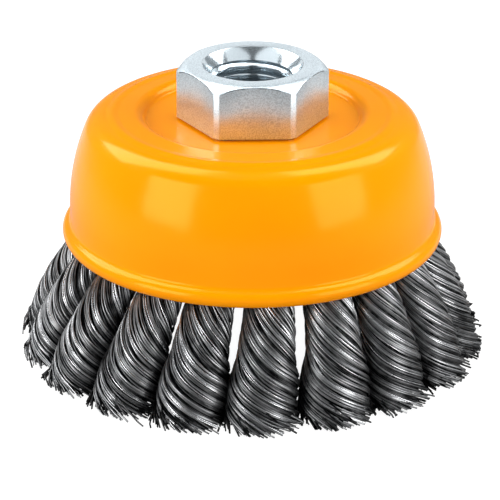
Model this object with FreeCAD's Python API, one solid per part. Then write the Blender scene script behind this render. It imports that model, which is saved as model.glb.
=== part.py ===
import FreeCAD, Part
import math
import os

# Wire cup brush: a hexagonal threaded hub holds a pressed cup and a dished inner plate.
# A ring of twisted wire knots hangs from the skirt of the plate and flares out below the cup.
# Millimetres. The spindle axis is +Z, and the wire tips stand on z = 0.

# Hub nut
HUB_TOP_Z = 49.0
HUB_FLATS = 22.0
HUB_CORNER_TRIM = 0.6
HUB_TURNED_DIAMETER = 2 * HUB_FLATS / math.sqrt(3) - HUB_CORNER_TRIM
HUB_HEX_HEIGHT = 9.4
HUB_FACE_INSET = 0.2
HUB_FACE_DIAMETER = HUB_FLATS - HUB_FACE_INSET
HUB_CORNER_DROP = 1.3
HUB_HEX_TURN = 2.1
HUB_NECK_DIAMETER = 18.0
THREAD_MINOR_DIAMETER = 12.376
COUNTERSINK_DIAMETER = 16.4
COUNTERSINK_DEPTH = 2.5
COLLAR_DIAMETER = 22.0
COLLAR_THICKNESS = 1.5
COLLAR_ROUND = 0.5
EXIT_CHAMFER = 0.6
SWAGE_CLEARANCE = 0.05

# Inner plate that carries the knots. Its heights hang from the seat of the hexagon.
CUP_SHEET = 1.2
PLATE_SHEET = 1.2
PLATE_FLAT_MARGIN = 4.0
PLATE_FLAT_RADIUS = COLLAR_DIAMETER / 2 + PLATE_FLAT_MARGIN
PLATE_SKIRT_RADIUS = 23.0
PLATE_CONE_DROP = 5.6
PLATE_SKIRT_TOP_Z = HUB_TOP_Z - HUB_HEX_HEIGHT - CUP_SHEET - PLATE_CONE_DROP
PLATE_SKIRT_HEIGHT = 8.6
PLATE_EDGE_Z = PLATE_SKIRT_TOP_Z - PLATE_SKIRT_HEIGHT
KNOT_HOLE_RISE = 4.5
KNOT_HOLE_Z = PLATE_EDGE_Z + KNOT_HOLE_RISE
KNOT_HOLE_CLEARANCE = 0.35

# Bundles of wire that hang in the holes
BUNDLE_RADIUS = 1.9
LOOP_CLEARANCE = 0.4
LOOP_RADIUS = BUNDLE_RADIUS + PLATE_SHEET / 2 + LOOP_CLEARANCE
BUNDLE_CUP_CLEARANCE = 1.1

# Pressed cup: its wall leaves room for a bundle outside the plate's skirt
CUP_WALL_RADIUS = PLATE_SKIRT_RADIUS + LOOP_RADIUS + BUNDLE_RADIUS + BUNDLE_CUP_CLEARANCE + CUP_SHEET
CUP_LAND_RISE = 0.8
CUP_SHOULDER_TOP_Z = HUB_TOP_Z - HUB_HEX_HEIGHT + CUP_LAND_RISE
CUP_CROWN_HEIGHT = 15.75
CUP_WALL_TOP_Z = CUP_SHOULDER_TOP_Z - CUP_CROWN_HEIGHT
CUP_CROWN_RADIUS = 34.7
CUP_SHOULDER_RADIUS = 4.0
CUP_LAND_REACH = 13.0
RECESS_RADIUS = CUP_WALL_RADIUS - CUP_LAND_REACH
RECESS_STEP_RUN = 2.2
RECESS_STEP_RISE = 1.3
RECESS_FOLD_RADIUS = 0.5
BEAD_STANDOUT = 1.25
BEAD_OUTER_RADIUS = CUP_WALL_RADIUS + BEAD_STANDOUT
BEAD_SECTION_RADIUS = 1.45
CUP_STRAIGHT_HEIGHT = 4.15
BEAD_Z = CUP_WALL_TOP_Z - CUP_STRAIGHT_HEIGHT
COVE_RADIUS = 0.8

# Wire knots: they stand clear of the cup above and of each other all the way down
KNOT_COUNT = 18
KNOT_FIRST_ANGLE = -82.8
KNOT_GAP = 0.3
KNOT_TOP_GAP = 1.03
KNOT_CUP_CLEARANCE = 2.1
KNOT_TOP_THICKNESS = 6.2
KNOT_TOP_DROP = 2.6
KNOT_TOP_Z = PLATE_EDGE_Z - KNOT_TOP_DROP
KNOT_TOP_RADIUS = CUP_WALL_RADIUS - CUP_SHEET - KNOT_CUP_CLEARANCE - KNOT_TOP_THICKNESS / 2
KNOT_TOP_WIDTH = 2 * KNOT_TOP_RADIUS * math.sin(math.pi / KNOT_COUNT) - KNOT_TOP_GAP
KNOT_LEAN = 0.412
KNOT_FLARE = KNOT_LEAN * KNOT_TOP_Z
KNOT_FOOT_RADIUS = KNOT_TOP_RADIUS + KNOT_FLARE
KNOT_SIDE_LEAN = 0.125
KNOT_SWING = KNOT_SIDE_LEAN * KNOT_TOP_Z
KNOT_FOOT_THICKNESS = 13.4
KNOT_SWELL_POWER = 1.2
KNOT_NIP_DEPTH = 0.9
KNOT_FULL_SHARE = 0.8
KNOT_TURNS = 1.0
KNOT_LAY_GAIN = 0.3
KNOT_STRANDS = 9
STRAND_DEPTH = 0.5
PLY_DEPTH = 0.25
INNER_LEG_RISE = 1.3
INNER_LEG_Z = KNOT_TOP_Z + INNER_LEG_RISE
RING_COUNT = 11
POINTS_PER_STRAND = 3
WELD_TOLERANCE = 0.001

PARTS = "parts"


def vector(radius, z):
    return FreeCAD.Vector(radius, 0, z)


def on_circle(centre, radius, angle):
    """A point of a circle in the XZ plane, with the angle in radians from +X."""
    return FreeCAD.Vector(centre.x + radius * math.cos(angle), 0, centre.z + radius * math.sin(angle))


def line(start, end):
    return Part.LineSegment(start, end).toShape()


def arc(centre, radius, first, last):
    """An arc in the XZ plane from the first to the last angle, by way of the middle one."""
    points = [on_circle(centre, radius, a) for a in (first, (first + last) / 2, last)]
    return Part.Arc(*points).toShape()


def polygon(points):
    return Part.Face(Part.makePolygon(points + points[:1]))


def turned(profile_face):
    return profile_face.revolve(FreeCAD.Vector(0, 0, 0), FreeCAD.Vector(0, 0, 1), 360)


def cup_floor_z():
    """Outside face of the recess, where the hexagon seats."""
    return HUB_TOP_Z - HUB_HEX_HEIGHT


def plate_top_z():
    return cup_floor_z() - CUP_SHEET


def collar_top_z():
    return plate_top_z() - PLATE_SHEET


def hub_nut():
    """Hexagon with turned corners, a neck through both sheets and the swaged collar below."""
    seat_z = cup_floor_z()
    corner_radius = HUB_FLATS / math.sqrt(3)
    hexagon = []
    for i in range(6):
        angle = math.radians(60 * i + HUB_HEX_TURN)
        corner = vector(corner_radius * math.cos(angle), seat_z)
        corner.y = corner_radius * math.sin(angle)
        hexagon.append(corner)
    prism = polygon(hexagon).extrude(FreeCAD.Vector(0, 0, HUB_HEX_HEIGHT))
    turned_radius = HUB_TURNED_DIAMETER / 2
    barrel = turned(polygon([
        vector(0, seat_z),
        vector(turned_radius, seat_z),
        vector(turned_radius, HUB_TOP_Z - HUB_CORNER_DROP),
        vector(HUB_FACE_DIAMETER / 2, HUB_TOP_Z),
        vector(0, HUB_TOP_Z),
    ]))
    head = prism.common(barrel)

    collar_bottom = collar_top_z() - COLLAR_THICKNESS
    neck_radius = HUB_NECK_DIAMETER / 2
    collar_radius = COLLAR_DIAMETER / 2
    stem = turned(polygon([
        vector(0, collar_bottom),
        vector(collar_radius - COLLAR_ROUND, collar_bottom),
        vector(collar_radius, collar_bottom + COLLAR_ROUND),
        vector(collar_radius, collar_top_z()),
        vector(neck_radius, collar_top_z()),
        vector(neck_radius, seat_z),
        vector(0, seat_z),
    ]))

    bore_radius = THREAD_MINOR_DIAMETER / 2
    bore = turned(polygon([
        vector(0, collar_bottom),
        vector(bore_radius + EXIT_CHAMFER, collar_bottom),
        vector(bore_radius, collar_bottom + EXIT_CHAMFER),
        vector(bore_radius, HUB_TOP_Z - COUNTERSINK_DEPTH),
        vector(COUNTERSINK_DIAMETER / 2, HUB_TOP_Z),
        vector(0, HUB_TOP_Z),
    ]))
    return head.fuse(stem).cut(bore).removeSplitter()


def land_lean(fold_centre, fold_radius, shoulder_centre, shoulder_radius):
    """Angle from vertical of the normal of the line that touches both round stretches from above."""
    run = shoulder_centre.x - fold_centre.x
    drop = fold_centre.z - shoulder_centre.z
    reach = math.hypot(run, drop)
    return math.atan2(drop, run) - math.asin((shoulder_radius - fold_radius) / reach)


def cup_shell():
    """One pressed sheet: recess floor, step, land, shoulder, crowned wall and the rolled bead."""
    floor_z = cup_floor_z()
    fold_sum = (RECESS_STEP_RUN ** 2 + RECESS_STEP_RISE ** 2) / (2 * RECESS_STEP_RISE)
    step_angle = math.asin(RECESS_STEP_RUN / fold_sum)
    upper_radius = fold_sum - RECESS_FOLD_RADIUS
    foot_centre = vector(RECESS_RADIUS, floor_z + RECESS_FOLD_RADIUS)
    top_centre = vector(RECESS_RADIUS + RECESS_STEP_RUN, floor_z + RECESS_STEP_RISE - upper_radius)

    crown_centre = vector(CUP_WALL_RADIUS - CUP_CROWN_RADIUS, CUP_WALL_TOP_Z)
    shoulder_reach = CUP_CROWN_RADIUS - CUP_SHOULDER_RADIUS
    shoulder_rise = CUP_SHOULDER_TOP_Z - CUP_SHOULDER_RADIUS - CUP_WALL_TOP_Z
    shoulder_angle = math.asin(shoulder_rise / shoulder_reach)
    shoulder_centre = on_circle(crown_centre, shoulder_reach, shoulder_angle)
    lean = land_lean(top_centre, upper_radius, shoulder_centre, CUP_SHOULDER_RADIUS)
    up = math.pi / 2

    bead_centre = vector(BEAD_OUTER_RADIUS - BEAD_SECTION_RADIUS, BEAD_Z)
    cove_x = CUP_WALL_RADIUS + COVE_RADIUS
    cove_angle = math.acos((cove_x - bead_centre.x) / (BEAD_SECTION_RADIUS + COVE_RADIUS))
    cove_centre = on_circle(bead_centre, BEAD_SECTION_RADIUS + COVE_RADIUS, cove_angle)
    inner_x = CUP_WALL_RADIUS - CUP_SHEET
    hem_angle = -math.acos((inner_x - bead_centre.x) / BEAD_SECTION_RADIUS)

    def skin(depth):
        """Edges of one face of the sheet, from the centre hole to the top of the straight wall."""
        hole_radius = HUB_NECK_DIAMETER / 2 + SWAGE_CLEARANCE
        foot = RECESS_FOLD_RADIUS + depth
        top = upper_radius - depth
        shoulder = CUP_SHOULDER_RADIUS - depth
        crown = CUP_CROWN_RADIUS - depth
        return [
            line(vector(hole_radius, floor_z - depth), vector(RECESS_RADIUS, floor_z - depth)),
            arc(foot_centre, foot, -up, -up + step_angle),
            arc(top_centre, top, up + step_angle, up - lean),
            line(on_circle(top_centre, top, up - lean), on_circle(shoulder_centre, shoulder, up - lean)),
            arc(shoulder_centre, shoulder, up - lean, shoulder_angle),
            arc(crown_centre, crown, shoulder_angle, 0),
        ]

    hole_radius = HUB_NECK_DIAMETER / 2 + SWAGE_CLEARANCE
    edges = skin(0) + [
        line(vector(CUP_WALL_RADIUS, CUP_WALL_TOP_Z), vector(CUP_WALL_RADIUS, cove_centre.z)),
        arc(cove_centre, COVE_RADIUS, math.pi, math.pi + cove_angle),
        arc(bead_centre, BEAD_SECTION_RADIUS, cove_angle, hem_angle),
        line(on_circle(bead_centre, BEAD_SECTION_RADIUS, hem_angle), vector(inner_x, CUP_WALL_TOP_Z)),
    ] + skin(CUP_SHEET) + [line(vector(hole_radius, floor_z - CUP_SHEET), vector(hole_radius, floor_z))]
    return turned(Part.Face(Part.Wire(Part.__sortEdges__(edges))))


def knot_plate():
    """Dished plate: flat centre, cone and skirt, with one hole above the edge for each knot."""
    top_z = plate_top_z()
    hole_radius = HUB_NECK_DIAMETER / 2 + SWAGE_CLEARANCE
    outer_radius = PLATE_SKIRT_RADIUS + PLATE_SHEET / 2
    inner_radius = PLATE_SKIRT_RADIUS - PLATE_SHEET / 2
    cone_angle = math.atan2(top_z - PLATE_SKIRT_TOP_Z, outer_radius - PLATE_FLAT_RADIUS)
    fold_shift = PLATE_SHEET * math.tan(cone_angle / 2)
    edge_shift = PLATE_SHEET * math.tan((math.pi / 2 - cone_angle) / 2)
    plate = turned(polygon([
        vector(hole_radius, top_z),
        vector(PLATE_FLAT_RADIUS, top_z),
        vector(outer_radius, PLATE_SKIRT_TOP_Z),
        vector(outer_radius, PLATE_EDGE_Z),
        vector(inner_radius, PLATE_EDGE_Z),
        vector(inner_radius, PLATE_SKIRT_TOP_Z - edge_shift),
        vector(PLATE_FLAT_RADIUS - fold_shift, top_z - PLATE_SHEET),
        vector(hole_radius, top_z - PLATE_SHEET),
    ]))
    drill_radius = BUNDLE_RADIUS + KNOT_HOLE_CLEARANCE
    drills = []
    for i in range(KNOT_COUNT):
        start = vector(PLATE_SKIRT_RADIUS - PLATE_SHEET, KNOT_HOLE_Z)
        drill = Part.makeCylinder(drill_radius, 2 * PLATE_SHEET, start, FreeCAD.Vector(1, 0, 0))
        drill.rotate(FreeCAD.Vector(0, 0, 0), FreeCAD.Vector(0, 0, 1), knot_angle(i))
        drills.append(drill)
    return plate.cut(Part.makeCompound(drills))


def knot_angle(index):
    return KNOT_FIRST_ANGLE + 360 * index / KNOT_COUNT


def knot_axis_radius(z):
    """The knot leans out below the cup and straightens towards its foot."""
    share = z / KNOT_TOP_Z
    return KNOT_FOOT_RADIUS - (KNOT_FOOT_RADIUS - KNOT_TOP_RADIUS) * share ** 2


def eased(share):
    return share * share * (3 - 2 * share)


def knot_half_width(z):
    """Half the width round the ring: neighbours come close at the foot and stand clear at the top."""
    foot = KNOT_FOOT_RADIUS * math.sin(math.pi / KNOT_COUNT) - KNOT_GAP / 2
    top = KNOT_TOP_WIDTH / 2
    return top + (foot - top) * eased(min(1, (1 - z / KNOT_TOP_Z) / KNOT_FULL_SHARE))


def knot_half_thickness(z):
    """Half the thickness across the ring: nipped inside the rim of the cup, then swelling to the foot."""
    top = KNOT_TOP_THICKNESS / 2
    swell = max(0, 1 - z / (BEAD_Z - KNOT_NIP_DEPTH))
    return top + (KNOT_FOOT_THICKNESS / 2 - top) * swell ** KNOT_SWELL_POWER


def knot_twist(z):
    """The lay tightens towards the foot. Going down, the wires turn anticlockwise seen from above."""
    share = 1 - z / KNOT_TOP_Z
    return 2 * math.pi * KNOT_TURNS * ((1 - KNOT_LAY_GAIN) * share + KNOT_LAY_GAIN * share ** 2)


def knot_section(z):
    """One ring of points round the knot, which swings sideways as it goes down.

    Bunches of wire show as strands in two plies.
    """
    count = KNOT_STRANDS * POINTS_PER_STRAND
    centre = knot_axis_radius(z)
    width = knot_half_width(z)
    thickness = knot_half_thickness(z)
    twist = knot_twist(z)
    swing = KNOT_SWING * (1 - z / KNOT_TOP_Z)
    ring = []
    for j in range(count):
        turn = 2 * math.pi * j / count
        strand = STRAND_DEPTH * (1 + math.cos(KNOT_STRANDS * turn)) / 2
        ply = PLY_DEPTH * (1 + math.cos(2 * turn)) / 2
        angle = turn + twist
        ring.append(FreeCAD.Vector(centre + (thickness - strand - ply) * math.cos(angle),
                                   (width - strand - ply) * math.sin(angle) - swing, z))
    return ring


def knot_body():
    """The twisted bundle as flat facets between its rings, closed above and below."""
    rings = [knot_section(KNOT_TOP_Z * i / (RING_COUNT - 1)) for i in range(RING_COUNT)]
    count = len(rings[0])
    points = [point for ring in rings for point in ring]
    facets = []
    for i in range(RING_COUNT - 1):
        for j in range(count):
            low, low_next = count * i + j, count * i + (j + 1) % count
            facets.append((low, low_next, low + count))
            facets.append((low_next, low_next + count, low + count))
    skin = Part.Shape()
    skin.makeShapeFromMesh((points, facets), WELD_TOLERANCE)
    caps = [Part.Face(Part.makePolygon(ring + ring[:1])) for ring in (rings[0], rings[-1])]
    shell = Part.makeShell(skin.Faces + caps)
    shell.sewShape()
    body = Part.Solid(Part.Shell(shell.Faces))
    if body.Volume < 0:
        body.reverse()
    return body


def bundle_loop():
    """The fold of the bundle through its hole and over the edge of the plate, in the XZ plane."""
    outer_x = PLATE_SKIRT_RADIUS + LOOP_RADIUS
    inner_x = PLATE_SKIRT_RADIUS - LOOP_RADIUS
    fold_z = KNOT_HOLE_Z - LOOP_RADIUS
    join_z = KNOT_TOP_Z - BUNDLE_RADIUS
    join = vector(knot_axis_radius(join_z), join_z)
    fold = Part.makeTorus(LOOP_RADIUS, BUNDLE_RADIUS, vector(PLATE_SKIRT_RADIUS, fold_z),
                          FreeCAD.Vector(0, 1, 0))
    room = 4 * LOOP_RADIUS
    corner = FreeCAD.Vector(PLATE_SKIRT_RADIUS - room / 2, -room / 2, fold_z - room)
    lower_half = Part.makeBox(room, room, room, corner)
    outer_leg = Part.makeCylinder(BUNDLE_RADIUS, fold_z - join_z, vector(outer_x, join_z))
    inner_leg = Part.makeCylinder(BUNDLE_RADIUS, fold_z - INNER_LEG_Z, vector(inner_x, INNER_LEG_Z))
    elbow = Part.makeSphere(BUNDLE_RADIUS, vector(inner_x, INNER_LEG_Z))
    slant = join - vector(inner_x, INNER_LEG_Z)
    tail = Part.makeCylinder(BUNDLE_RADIUS, slant.Length, vector(inner_x, INNER_LEG_Z), slant)
    return fold.cut(lower_half).fuse([outer_leg, inner_leg, elbow, tail])


def wire_knot(index, knot):
    copy = knot.copy()
    copy.rotate(FreeCAD.Vector(0, 0, 0), FreeCAD.Vector(0, 0, 1), knot_angle(index))
    return copy


def save(name, shape):
    solids = shape.Solids
    print(name, "solids", len(solids), "valid", shape.isValid(), "volume", round(shape.Volume, 1))
    shape.exportStep(PARTS + "/" + name + ".step")


os.makedirs(PARTS, exist_ok=True)
save("hub_nut", hub_nut())
save("cup_shell", cup_shell())
save("knot_plate", knot_plate())
first_knot = knot_body().fuse(bundle_loop())
for number in range(KNOT_COUNT):
    save("wire_knot_%02d" % (number + 1), wire_knot(number, first_knot))
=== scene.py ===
# %% [markdown]
# # A twist-knot wire cup brush
#
# This lesson dresses a CAD model of a cup brush for an angle grinder. A hexagonal nut is screwed on
# the grinder's spindle and carries a pressed, enamelled cup. Eighteen bundles of steel wire hang
# from a plate inside the cup, and each bundle is twisted into a knot that flares out at its foot.
#
# The CAD model is loaded as it is, and it sets every size. Each piece made here takes the place of
# one CAD part, in the same coordinates, so nothing has to be fitted by eye.

import math
import random

import bpy
import bmesh
from mathutils import Matrix, Vector


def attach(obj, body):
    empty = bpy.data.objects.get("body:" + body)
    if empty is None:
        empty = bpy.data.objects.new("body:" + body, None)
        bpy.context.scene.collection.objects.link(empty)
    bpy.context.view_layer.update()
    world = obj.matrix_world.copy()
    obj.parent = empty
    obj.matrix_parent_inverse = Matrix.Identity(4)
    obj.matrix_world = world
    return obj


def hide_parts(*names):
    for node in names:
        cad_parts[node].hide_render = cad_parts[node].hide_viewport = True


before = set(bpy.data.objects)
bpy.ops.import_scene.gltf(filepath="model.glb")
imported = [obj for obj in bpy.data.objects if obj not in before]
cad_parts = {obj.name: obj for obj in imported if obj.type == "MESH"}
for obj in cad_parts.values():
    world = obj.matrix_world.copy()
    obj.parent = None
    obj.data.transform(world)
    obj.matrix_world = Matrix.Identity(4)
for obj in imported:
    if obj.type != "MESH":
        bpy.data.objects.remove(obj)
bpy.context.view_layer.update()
MM = 0.001

# %% [markdown]
# ## Tools for shapes
#
# Turned and pressed parts are easiest to describe by half of their section: a list of points, each
# a distance from the axis and a height. Round stretches are made of many points on an arc. The
# section could be turned with the Screw modifier, but a grid of faces built in code closes on
# itself with no seam and no pole, which makes a sound mesh.

# %% Helpers for sections and meshes
def arc(x, z, radius, first, last, steps):
    """Points on an arc in the section, from the first to the last angle in degrees."""
    angles = [math.radians(first + (last - first) * i / steps) for i in range(steps + 1)]
    return [(x + radius * math.cos(a), z + radius * math.sin(a)) for a in angles]


def grid_mesh(name, rings):
    """A closed mesh from rings of points in millimetres. Every ring is one section of the piece."""
    count = len(rings[0])
    points = [(x * MM, y * MM, z * MM) for ring in rings for x, y, z in ring]
    faces = []
    for i in range(len(rings)):
        a, b = i * count, (i + 1) % len(rings) * count
        for j in range(count):
            k = (j + 1) % count
            faces.append((a + j, b + j, b + k, a + k))
    mesh = bpy.data.meshes.new(name)
    mesh.from_pydata(points, [], faces)
    return mesh


def turned_ring(section, angle):
    """A section, turned round the Z axis to an angle in radians."""
    return [(r * math.cos(angle), r * math.sin(angle), z) for r, z in section]


def outward(mesh, sharp_degrees=30):
    """Turns the faces outwards and smooths the shading, except across sharp edges."""
    work = bmesh.new()
    work.from_mesh(mesh)
    bmesh.ops.recalc_face_normals(work, faces=work.faces)
    work.to_mesh(mesh)
    work.free()
    mesh.shade_smooth()
    mesh.set_sharp_from_angle(angle=math.radians(sharp_degrees))


def add_piece(name, mesh, material, node):
    """Puts a finished mesh in the scene in place of a CAD part, with that part's finish."""
    piece = bpy.data.objects.new(name, mesh)
    bpy.context.scene.collection.objects.link(piece)
    mesh.materials.clear()
    mesh.materials.append(material)
    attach(piece, "root")
    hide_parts(node)
    mesh.calc_loop_triangles()
    print(name, len(mesh.loop_triangles), "triangles")
    return piece


# %% [markdown]
# ## Tools for materials and node trees
#
# Materials and Geometry Nodes are both trees of nodes, and a formula in one of them soon needs a
# dozen Math nodes. A small class can stand for a socket: adding or multiplying two of them adds the
# Math node and its links. The formula then reads as it would on paper.

# %% A socket that can be used in formulas
class Field:
    """A socket in a node tree. Arithmetic with fields adds Math nodes to the tree."""

    def __init__(self, tree, socket):
        self.tree = tree
        self.socket = socket

    def math(self, operation, *values):
        node = self.tree.nodes.new("ShaderNodeMath")
        node.operation = operation
        for place, value in enumerate(values):
            connect(self.tree, value, node.inputs[place])
        return Field(self.tree, node.outputs[0])

    def __add__(self, other):
        return self.math("ADD", self, other)

    def __radd__(self, other):
        return self.math("ADD", other, self)

    def __sub__(self, other):
        return self.math("SUBTRACT", self, other)

    def __rsub__(self, other):
        return self.math("SUBTRACT", other, self)

    def __mul__(self, other):
        return self.math("MULTIPLY", self, other)

    def __rmul__(self, other):
        return self.math("MULTIPLY", other, self)

    def __truediv__(self, other):
        return self.math("DIVIDE", self, other)

    def __pow__(self, other):
        return self.math("POWER", self, other)

    def cosine(self):
        return self.math("COSINE", self)

    def sine(self):
        return self.math("SINE", self)

    def floor(self):
        return self.math("FLOOR", self)

    def at_least(self, other):
        return self.math("MAXIMUM", self, other)

    def at_most(self, other):
        return self.math("MINIMUM", self, other)


def connect(tree, value, socket):
    """Links a field to an input, or sets the input to a plain value."""
    if isinstance(value, Field):
        tree.links.new(value.socket, socket)
    else:
        socket.default_value = value


def add_node(tree, kind, inputs=None, **settings):
    """Adds a node, sets its options, and links or sets the inputs that are named or numbered."""
    node = tree.nodes.new(kind)
    for option, value in settings.items():
        setattr(node, option, value)
    for key, value in (inputs or {}).items():
        connect(tree, value, node.inputs[key])
    return node


def out(tree, node, key=0):
    """An output of a node, as a field."""
    return Field(tree, node.outputs[key])


def coordinates(tree, vector):
    """The three coordinates of a vector, as fields."""
    split = add_node(tree, "ShaderNodeSeparateXYZ", {0: vector})
    return [out(tree, split, axis) for axis in range(3)]


def from_axis(x, y):
    """How far a point is from the Z axis."""
    return (x * x + y * y) ** 0.5


# %% [markdown]
# ## Finishes
#
# Every material starts from the Principled shader and gets its detail from procedural textures on
# Object coordinates. All the objects stand at the origin, so those coordinates are metres on the
# brush itself, and the scale of a texture can be read as so many features to the metre.

# %% Helpers for materials
def new_material(name, metallic, roughness):
    """A material with its Principled shader, and the coordinates that its textures use."""
    material = bpy.data.materials.new(name)
    material.use_nodes = True
    tree = material.node_tree
    shader = tree.nodes["Principled BSDF"]
    shader.inputs["Metallic"].default_value = metallic
    shader.inputs["Roughness"].default_value = roughness
    place = out(tree, tree.nodes.new("ShaderNodeTexCoord"), "Object")
    return material, tree, shader, place


def noise(tree, place, scale, detail=3.0, roughness=0.5):
    """A cloudy pattern with values near 0.5."""
    node = add_node(tree, "ShaderNodeTexNoise", {"Vector": place, "Scale": scale, "Detail": detail,
                                                 "Roughness": roughness})
    return out(tree, node, "Fac")


def remap(tree, value, low, high, new_low, new_high):
    """Stretches a value from one range to another, and holds it there."""
    node = add_node(tree, "ShaderNodeMapRange", {"Value": value, "From Min": low, "From Max": high,
                                                 "To Min": new_low, "To Max": new_high})
    return out(tree, node, "Result")


NOISE_LOW = 0.3
NOISE_HIGH = 0.7


def cloudy(tree, place, scale, low, high, detail=3.0):
    """A noise that is stretched to go from one value to another."""
    return remap(tree, noise(tree, place, scale, detail), NOISE_LOW, NOISE_HIGH, low, high)


def mix_colour(tree, share, first, second):
    """The first colour where the share is 0, and the second where it is 1."""
    node = add_node(tree, "ShaderNodeMix", {0: share}, data_type="RGBA")
    connect(tree, first, node.inputs[6])
    connect(tree, second, node.inputs[7])
    return out(tree, node, 2)


def facing(tree):
    """The direction that the surface faces, as three fields."""
    return coordinates(tree, out(tree, tree.nodes.new("ShaderNodeNewGeometry"), "Normal"))


def bump(tree, shader, height, depth, strength):
    """Raises the surface by a field. Depth is in metres for a field that goes from 0 to 1."""
    node = add_node(tree, "ShaderNodeBump", {"Height": height, "Distance": depth, "Strength": strength})
    tree.links.new(node.outputs["Normal"], shader.inputs["Normal"])


# %% [markdown]
# ### Amber enamel
#
# The cup is sprayed with a thick amber enamel and baked. Up close such a coat is never quite flat:
# it has a faint orange-peel waviness, and it is a shade deeper where it has run together. A wide
# noise moves the colour a little, and two finer ones make the waves. The inside of the cup is
# painted dark brown: painted shade, as the inside lies in shade, which also keeps it from bouncing
# amber light onto the wires. One mesh carries both, and the material tells them apart by the way
# the surface faces: towards the axis, or down from the ceiling of the cup.

# %% Enamel for the cup
ENAMEL = (1.0, 0.33, 0.0, 1.0)
ENAMEL_DEEP = (1.0, 0.305, 0.0, 1.0)
PAINTED_SHADE_INSIDE = (0.12, 0.05, 0.012, 1.0)
ENAMEL_TINT = (1.0, 0.85, 0.65, 1.0)
ENAMEL_IOR = 1.22
ENAMEL_ROUGHNESS = (0.14, 0.21)
CEILING_Z = 0.030
WAVE_DEPTH = 0.06 * MM
enamel, tree, shader, place = new_material("amber_enamel", 0.05, 0.12)
deeper = remap(tree, noise(tree, place, 45.0), 0.35, 0.7, 0.0, 1.0)
coat = mix_colour(tree, deeper, ENAMEL, ENAMEL_DEEP)
x, y, z = coordinates(tree, place)
facing_x, facing_y, facing_z = facing(tree)
outwards = (x * facing_x + y * facing_y) / from_axis(x, y)
# Painted shade: faces inside the cup that look towards the axis or down from its ceiling get a dark brown,
# as they lie in shade.
inner_wall = (remap(tree, outwards, -0.3, -0.1, 1.0, 0.0)
              * remap(tree, facing_z, 0.2, 0.3, 1.0, 0.0))
ceiling = (remap(tree, facing_z, -0.5, -0.3, 1.0, 0.0)
           * remap(tree, z, CEILING_Z, CEILING_Z + MM, 0.0, 1.0))
colour = mix_colour(tree, inner_wall.at_least(ceiling), coat, PAINTED_SHADE_INSIDE)
connect(tree, colour, shader.inputs["Base Color"])
connect(tree, cloudy(tree, place, 320.0, *ENAMEL_ROUGHNESS), shader.inputs["Roughness"])
shader.inputs["IOR"].default_value = ENAMEL_IOR
shader.inputs["Specular Tint"].default_value = ENAMEL_TINT
waves = noise(tree, place, 260.0, 1.0) * 0.8 + noise(tree, place, 1400.0, 2.0) * 0.2
bump(tree, shader, waves, WAVE_DEPTH, 0.5)
print(enamel.name, "has", len(tree.nodes), "nodes")

# %% [markdown]
# ### Bright zinc
#
# The nut is turned and milled from bar and plated with zinc. Plating gives a fine speckle and a
# hint of blue. The speckle is a fine noise in the colour alone, because in the bump it would break
# up every reflection. Slow patches make one part of a flat brighter than the next. The height in
# the bump also falls from the foot of the nut to its top, which moves what the flats mirror, so
# that the amber of the cup shows only on their lower part. The burr that the mill leaves along the
# top edge of the flats is a thin, dark, broken line. It follows the chamfer, so the sizes of the
# nut's top come first. The countersink and the bore are finer cuts, and smoother.

# %% Sizes of the nut's top
NUT_TOP_Z = 49.0
FACE_RADIUS = 10.6
BROW_RADIUS = 11.4
GENTLE_SLOPE = 0.45
STEEP_SLOPE = 0.95
COUNTERSINK_RADIUS = 8.2

# %% Zinc for the nut
ZINC = (0.72, 0.81, 0.86, 1.0)
ZINC_DULL = (0.40, 0.46, 0.50, 1.0)
BURR = (0.03, 0.035, 0.04, 1.0)
BURR_DEPTH = 0.2 * MM
BURR_REACH = 12.0 * MM
PATCH_SHARE = 0.3
SPECKLE_SHARE = 0.6
MACHINED_SHARE = 0.5
PLATED_ROUGHNESS = (0.30, 0.36)
MACHINED_ROUGHNESS = 0.16
RIPPLE = 0.0016 * MM
MILL_SLANT = 0.09
zinc, tree, shader, place = new_material("bright_zinc", 0.9, 0.3)
x, y, z = coordinates(tree, place)
reach = from_axis(x, y)
patches = cloudy(tree, place, 160.0, 0.0, 1.0, detail=4.0)
speckle = remap(tree, noise(tree, place, 5200.0, 0.0), 0.38, 0.66, 0.0, 1.0)
machined = remap(tree, reach, COUNTERSINK_RADIUS * MM, (COUNTERSINK_RADIUS + 0.1) * MM, 1.0, 0.0)
plated = 1 - machined
dull = (PATCH_SHARE * patches + SPECKLE_SHARE * speckle) * plated + MACHINED_SHARE * machined
plating = mix_colour(tree, dull, ZINC, ZINC_DULL)
chamfer_z = (NUT_TOP_Z * MM - (reach.at_most(BROW_RADIUS * MM) - FACE_RADIUS * MM) * GENTLE_SLOPE
             - (reach - BROW_RADIUS * MM).at_least(0.0) * STEEP_SLOPE)
upright = remap(tree, facing(tree)[2], 0.2, 0.4, 1.0, 0.0)
burr = (remap(tree, z - chamfer_z, -BURR_DEPTH, -0.6 * BURR_DEPTH, 0.0, 1.0) * upright
        * remap(tree, reach, BURR_REACH, BURR_REACH + 0.1 * MM, 1.0, 0.0)
        * remap(tree, noise(tree, place, 900.0), 0.42, 0.55, 0.1, 0.9) * plated)
connect(tree, mix_colour(tree, burr, plating, BURR), shader.inputs["Base Color"])
roughness = remap(tree, patches, 0.0, 1.0, *PLATED_ROUGHNESS) * plated + MACHINED_ROUGHNESS * machined
connect(tree, roughness, shader.inputs["Roughness"])
bump(tree, shader, (patches * RIPPLE - z * MILL_SLANT) * plated, 1.0, 1.0)
print(zinc.name, "has", len(tree.nodes), "nodes")

# %% [markdown]
# ### Plain sheet steel
#
# The plate inside the cup is bare sheet. It is duller and darker than the nut, with the cloudy
# look of cold-rolled steel and a few stains from the oil of the press. One noise moves the colour
# and the roughness together, and a finer one gives the grain.

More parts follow.
